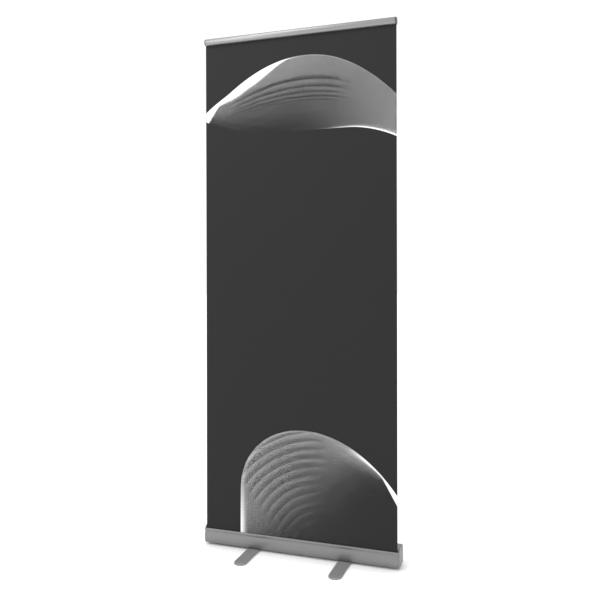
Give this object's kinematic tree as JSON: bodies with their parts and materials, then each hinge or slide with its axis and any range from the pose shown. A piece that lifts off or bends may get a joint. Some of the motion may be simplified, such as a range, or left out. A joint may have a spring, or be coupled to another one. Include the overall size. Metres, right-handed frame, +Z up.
{
  "type": "roll-up banner stand",
  "caption": "Free-standing roll-up banner: spring roller in a low housing on swivel feet, telescopic pole, snap-open clamp rail and a tall printed film.",
  "frame": {"origin": "on the floor, midway between the two foot pivots", "axes": "+Z up along the graphic, -Y out of the printed front, +X to the viewer's right"},
  "size_m": [0.8186, 0.376, 2.0975],
  "materials": {
    "anodised_aluminium": "satin silver anodised extrusion",
    "grey_moulding": "fine-grained silver-grey moulding",
    "dark_grey_moulding": "fine-grained dark grey moulding",
    "black_moulding": "black nylon moulding",
    "zinc_steel": "bright zinc plated",
    "printed_film": "matte charcoal print on film",
    "black_rubber": "matte rubber",
    "coated_foot": "silver powder coat on aluminium bar"
  },
  "bodies": {
    "housing": {"housing_extrusion": "anodised_aluminium", "end_cap_left": "grey_moulding", "end_cap_left_screw_1": "zinc_steel", "end_cap_left_screw_2": "zinc_steel", "end_cap_left_screw_3": "zinc_steel", "end_cap_right": "grey_moulding", "end_cap_right_screw_1": "zinc_steel", "end_cap_right_screw_2": "zinc_steel", "end_cap_right_screw_3": "zinc_steel", "idler_pin": "zinc_steel", "spring_arbor": "zinc_steel", "arbor_collar": "black_moulding", "torsion_spring": "zinc_steel", "foot_left_rivet": "zinc_steel", "foot_right_rivet": "zinc_steel", "foot_left_washer": "black_moulding", "foot_right_washer": "black_moulding", "pole_socket": "black_moulding", "pole_lower_tube": "anodised_aluminium", "pole_lower_plug": "black_moulding", "lock_body_lower": "black_moulding", "banner_film": "printed_film"},
    "roller": {"roller_tube": "anodised_aluminium", "film_roll": "printed_film", "roller_idler_plug": "black_moulding", "roller_spring_plug": "black_moulding"},
    "foot_left": {"foot_left_bar": "coated_foot", "foot_left_front_shoe": "grey_moulding", "foot_left_back_shoe": "grey_moulding", "foot_left_front_pad": "black_rubber", "foot_left_back_pad": "black_rubber"},
    "foot_right": {"foot_right_bar": "coated_foot", "foot_right_front_shoe": "grey_moulding", "foot_right_back_shoe": "grey_moulding", "foot_right_front_pad": "black_rubber", "foot_right_back_pad": "black_rubber"},
    "lock_nut_lower": {"lock_nut_lower": "black_moulding"},
    "pole_middle": {"pole_middle_tube": "anodised_aluminium", "pole_middle_plug": "black_moulding", "lock_body_middle": "black_moulding"},
    "lock_nut_middle": {"lock_nut_middle": "black_moulding"},
    "pole_upper": {"pole_upper_tube": "anodised_aluminium", "pole_upper_plug": "black_moulding", "pole_head": "black_moulding"},
    "rail": {"rail_back": "anodised_aluminium", "rail_cap_left": "dark_grey_moulding", "rail_cap_right": "dark_grey_moulding"},
    "rail_jaw": {"rail_jaw": "anodised_aluminium"}
  },
  "joints": [
    {"name": "rail_height", "type": "slide", "parent": "housing", "child": "pole_upper", "axis": [0, 0, 1], "range_m": [-1.18, 0], "deforming": ["banner_film"]},
    {"name": "pole_middle_slide", "type": "slide", "parent": "housing", "child": "pole_middle", "axis": [0, 0, 1], "range_m": [-0.59, 0]},
    {"name": "roller_spin", "type": "hinge", "parent": "housing", "child": "roller", "pos_m": [0, -0.0155, 0.038], "axis": [1, 0, 0], "range_deg": [0, 3600], "stiffness_Nm_per_rad": 0.0023, "springref_deg": 7161.97},
    {"name": "foot_left_swivel", "type": "hinge", "parent": "housing", "child": "foot_left", "pos_m": [-0.191, 0, 0.005], "axis": [0, 0, 1], "range_deg": [-90, 0]},
    {"name": "foot_right_swivel", "type": "hinge", "parent": "housing", "child": "foot_right", "pos_m": [0.191, 0, 0.005], "axis": [0, 0, 1], "range_deg": [0, 90]},
    {"name": "lock_nut_lower_turn", "type": "hinge", "parent": "housing", "child": "lock_nut_lower", "pos_m": [0, 0.008, 0.787], "axis": [0, 0, 1], "range_deg": [0, 90]},
    {"name": "lock_nut_middle_turn", "type": "hinge", "parent": "pole_middle", "child": "lock_nut_middle", "pos_m": [0, 0.008, 1.435], "axis": [0, 0, 1], "range_deg": [0, 90]},
    {"name": "rail_lift", "type": "slide", "parent": "pole_upper", "child": "rail", "axis": [0, 0, 1], "range_m": [0, 0.008]},
    {"name": "rail_jaw_hinge", "type": "hinge", "parent": "rail", "child": "rail_jaw", "pos_m": [0, -0.0365, 2.0945], "axis": [-1, 0, 0], "range_deg": [0, 60]}
  ],
  "couplings": [
    {"joint": "pole_middle_slide", "follows": "rail_height", "ratio": 0.5},
    {"joint": "roller_spin", "follows": "rail_height", "rad_per_m": -52.08}
  ]
}
